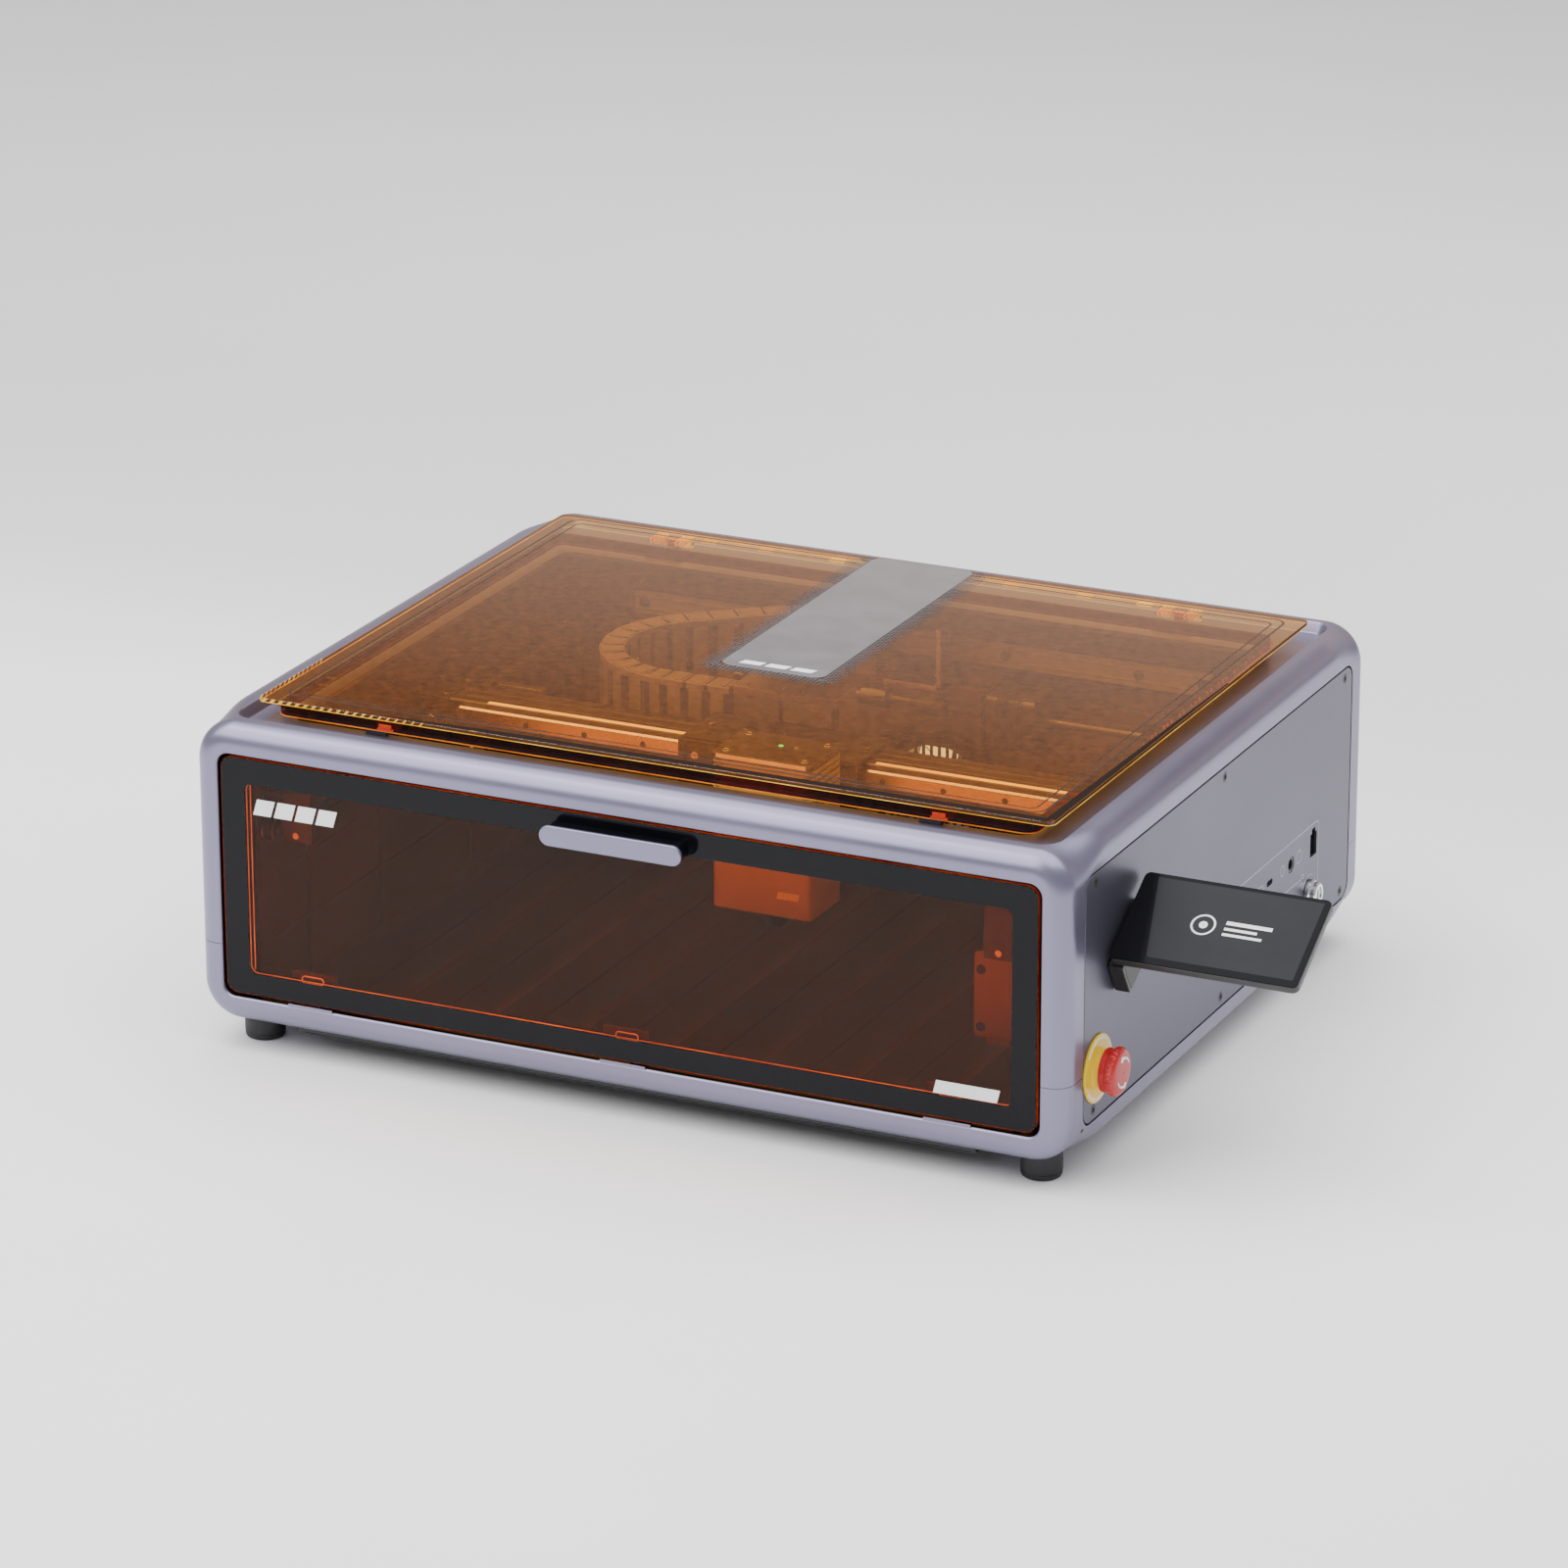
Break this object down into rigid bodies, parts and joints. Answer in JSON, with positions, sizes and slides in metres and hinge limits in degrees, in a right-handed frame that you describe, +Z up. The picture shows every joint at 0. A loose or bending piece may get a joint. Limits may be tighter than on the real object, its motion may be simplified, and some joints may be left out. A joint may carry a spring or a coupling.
{
  "type": "laser engraver",
  "caption": "Enclosed desktop laser engraver: rounded casing, amber lid and drop-down door, moving gantry with laser head, tilting screen, stop button, key switch and rear exhaust.",
  "frame": {"origin": "on the surface the feet stand on, under the centre of the whole footprint, screen included", "axes": "+X to the right seen from the front door, +Y to the back, +Z up"},
  "size_m": [0.6854, 0.502, 0.2138],
  "materials": {
    "casing_paint": "satin",
    "panel_paint": "satin",
    "black_plastic": "matte",
    "black_gloss": "gloss",
    "dark_metal": "matte",
    "steel": "brushed",
    "chrome": "polished",
    "aluminium": "satin",
    "amber_acrylic": "transparent gloss",
    "strip_grey": "satin",
    "rubber": "matte",
    "circuit_board": "matte",
    "yellow_plastic": "gloss",
    "red_plastic": "gloss",
    "screen_glass": "gloss"
  },
  "bodies": {
    "casing": {"upper_casing": "casing_paint", "lower_casing": "casing_paint", "left_side_panel": "panel_paint", "right_side_panel": "panel_paint", "panel_screws": "dark_metal", "feet": "rubber", "bed_plate": "dark_metal", "inner_walls": "dark_metal", "lid_hinge_brackets": "steel", "door_hinge_brackets": "steel", "hinge_pins": "steel", "catch_magnets": "steel", "guide_rods": "steel", "rod_end_blocks": "dark_metal", "rear_cross_beam": "aluminium", "depth_motor": "dark_metal", "depth_belts": "rubber", "fan_housing": "black_plastic", "fan_grille": "dark_metal", "exhaust_collar": "black_plastic", "air_pump": "dark_metal", "control_board": "circuit_board", "power_inlet": "black_plastic", "key_switch_body": "chrome", "stop_switch_base": "yellow_plastic", "screen_pivot": "steel", "chain_anchor": "steel", "chain_rear_run": "black_plastic"},
    "tray": {"base_tray": "dark_metal"},
    "lid": {"lid_panel": "amber_acrylic", "lid_strip": "strip_grey", "lid_hinge_leaves": "amber_acrylic", "lid_catches": "red_plastic"},
    "door": {"door_panel": "amber_acrylic", "door_border": "black_gloss", "door_handle": "casing_paint", "door_hinge_leaves": "steel"},
    "gantry": {"cross_beam": "aluminium", "beam_end_carriers": "black_plastic", "beam_rail": "steel", "width_motor": "dark_metal", "width_belt": "rubber", "chain_front_run": "black_plastic"},
    "carriage": {"carriage_plate": "dark_metal", "carriage_bearing": "steel", "chain_bracket": "dark_metal"},
    "laser": {"laser_body": "aluminium", "laser_top_plate": "aluminium", "laser_nozzle": "black_plastic"},
    "laser_fan_rotor": {"laser_fan": "black_plastic"},
    "drive_shaft": {"depth_drive_shaft": "steel"},
    "idlers": {"depth_idlers": "steel"},
    "motor_pulley": {"width_motor_pulley": "steel"},
    "idler_pulley": {"width_idler": "steel"},
    "exhaust_impeller": {"exhaust_rotor": "black_plastic"},
    "key": {"key_barrel": "chrome"},
    "rocker": {"power_rocker": "black_gloss"},
    "stop_button_plunger": {"stop_plunger": "steel"},
    "stop_button_head": {"stop_head": "red_plastic"},
    "screen": {"screen_unit": "screen_glass"}
  },
  "joints": [
    {"name": "lid_hinge", "type": "hinge", "parent": "casing", "child": "lid", "pos_m": [-0.05895, 0.19065, 0.2075], "axis": [-1, 0, 0], "range_deg": [0, 95]},
    {"name": "door_hinge", "type": "hinge", "parent": "casing", "child": "door", "pos_m": [-0.05895, -0.23085, 0.0442], "axis": [1, 0, 0], "range_deg": [0, 84]},
    {"name": "gantry_depth", "type": "slide", "parent": "casing", "child": "gantry", "axis": [0, 1, 0], "range_m": [-0.112, 0.115], "deforming": ["chain_rear_run"]},
    {"name": "carriage_width", "type": "slide", "parent": "gantry", "child": "carriage", "axis": [1, 0, 0], "range_m": [-0.135, 0.134], "deforming": ["chain_front_run"]},
    {"name": "laser_focus", "type": "slide", "parent": "carriage", "child": "laser", "axis": [0, 0, 1], "range_m": [-0.012, 0.008]},
    {"name": "laser_fan_spin", "type": "hinge", "parent": "laser", "child": "laser_fan_rotor", "pos_m": [-0.02915, -0.08835, 0.169], "axis": [0, 0, 1], "continuous": true},
    {"name": "exhaust_fan_spin", "type": "hinge", "parent": "casing", "child": "exhaust_impeller", "pos_m": [-0.05545, 0.21365, 0.0595], "axis": [0, 1, 0], "continuous": true},
    {"name": "drive_shaft_turn", "type": "hinge", "parent": "casing", "child": "drive_shaft", "pos_m": [-0.05895, 0.16265, 0.134], "axis": [1, 0, 0], "range_deg": [-1060, 1060]},
    {"name": "depth_idlers_turn", "type": "hinge", "parent": "casing", "child": "idlers", "pos_m": [-0.05895, -0.21035, 0.134], "axis": [1, 0, 0], "range_deg": [-1060, 1060]},
    {"name": "width_pulley_turn", "type": "hinge", "parent": "gantry", "child": "motor_pulley", "pos_m": [-0.25395, -0.04635, 0.1445], "axis": [0, 1, 0], "range_deg": [-1240, 1240]},
    {"name": "width_idler_turn", "type": "hinge", "parent": "gantry", "child": "idler_pulley", "pos_m": [0.14605, -0.04635, 0.1445], "axis": [0, 1, 0], "range_deg": [-1240, 1240]},
    {"name": "key_turn", "type": "hinge", "parent": "casing", "child": "key", "pos_m": [0.22455, 0.13765, 0.058], "axis": [1, 0, 0], "range_deg": [-90, 0]},
    {"name": "power_rocker_tilt", "type": "hinge", "parent": "casing", "child": "rocker", "pos_m": [0.21805, 0.09265, 0.056], "axis": [0, 0, 1], "range_deg": [0, 16]},
    {"name": "stop_push", "type": "slide", "parent": "casing", "child": "stop_button_plunger", "axis": [-1, 0, 0], "range_m": [0, 0.0035], "stiffness_N_per_m": 1500},
    {"name": "stop_twist", "type": "hinge", "parent": "stop_button_plunger", "child": "stop_button_head", "pos_m": [0.23655, -0.19595, 0.0655], "axis": [-1, 0, 0], "range_deg": [0, 35], "stiffness_Nm_per_rad": 0.05},
    {"name": "screen_tilt", "type": "hinge", "parent": "casing", "child": "screen", "pos_m": [0.22855, -0.16719, 0.12008], "axis": [1, 0, 0], "range_deg": [-25, 30]},
    {"name": "tray_slide", "type": "slide", "parent": "casing", "child": "tray", "axis": [0, -1, 0], "range_m": [0, 0.3]}
  ],
  "couplings": [
    {"joint": "drive_shaft_turn", "follows": "gantry_depth", "rad_per_m": -156.99},
    {"joint": "depth_idlers_turn", "follows": "gantry_depth", "rad_per_m": -156.99},
    {"joint": "width_pulley_turn", "follows": "carriage_width", "rad_per_m": 156.99},
    {"joint": "width_idler_turn", "follows": "carriage_width", "rad_per_m": 156.99}
  ]
}
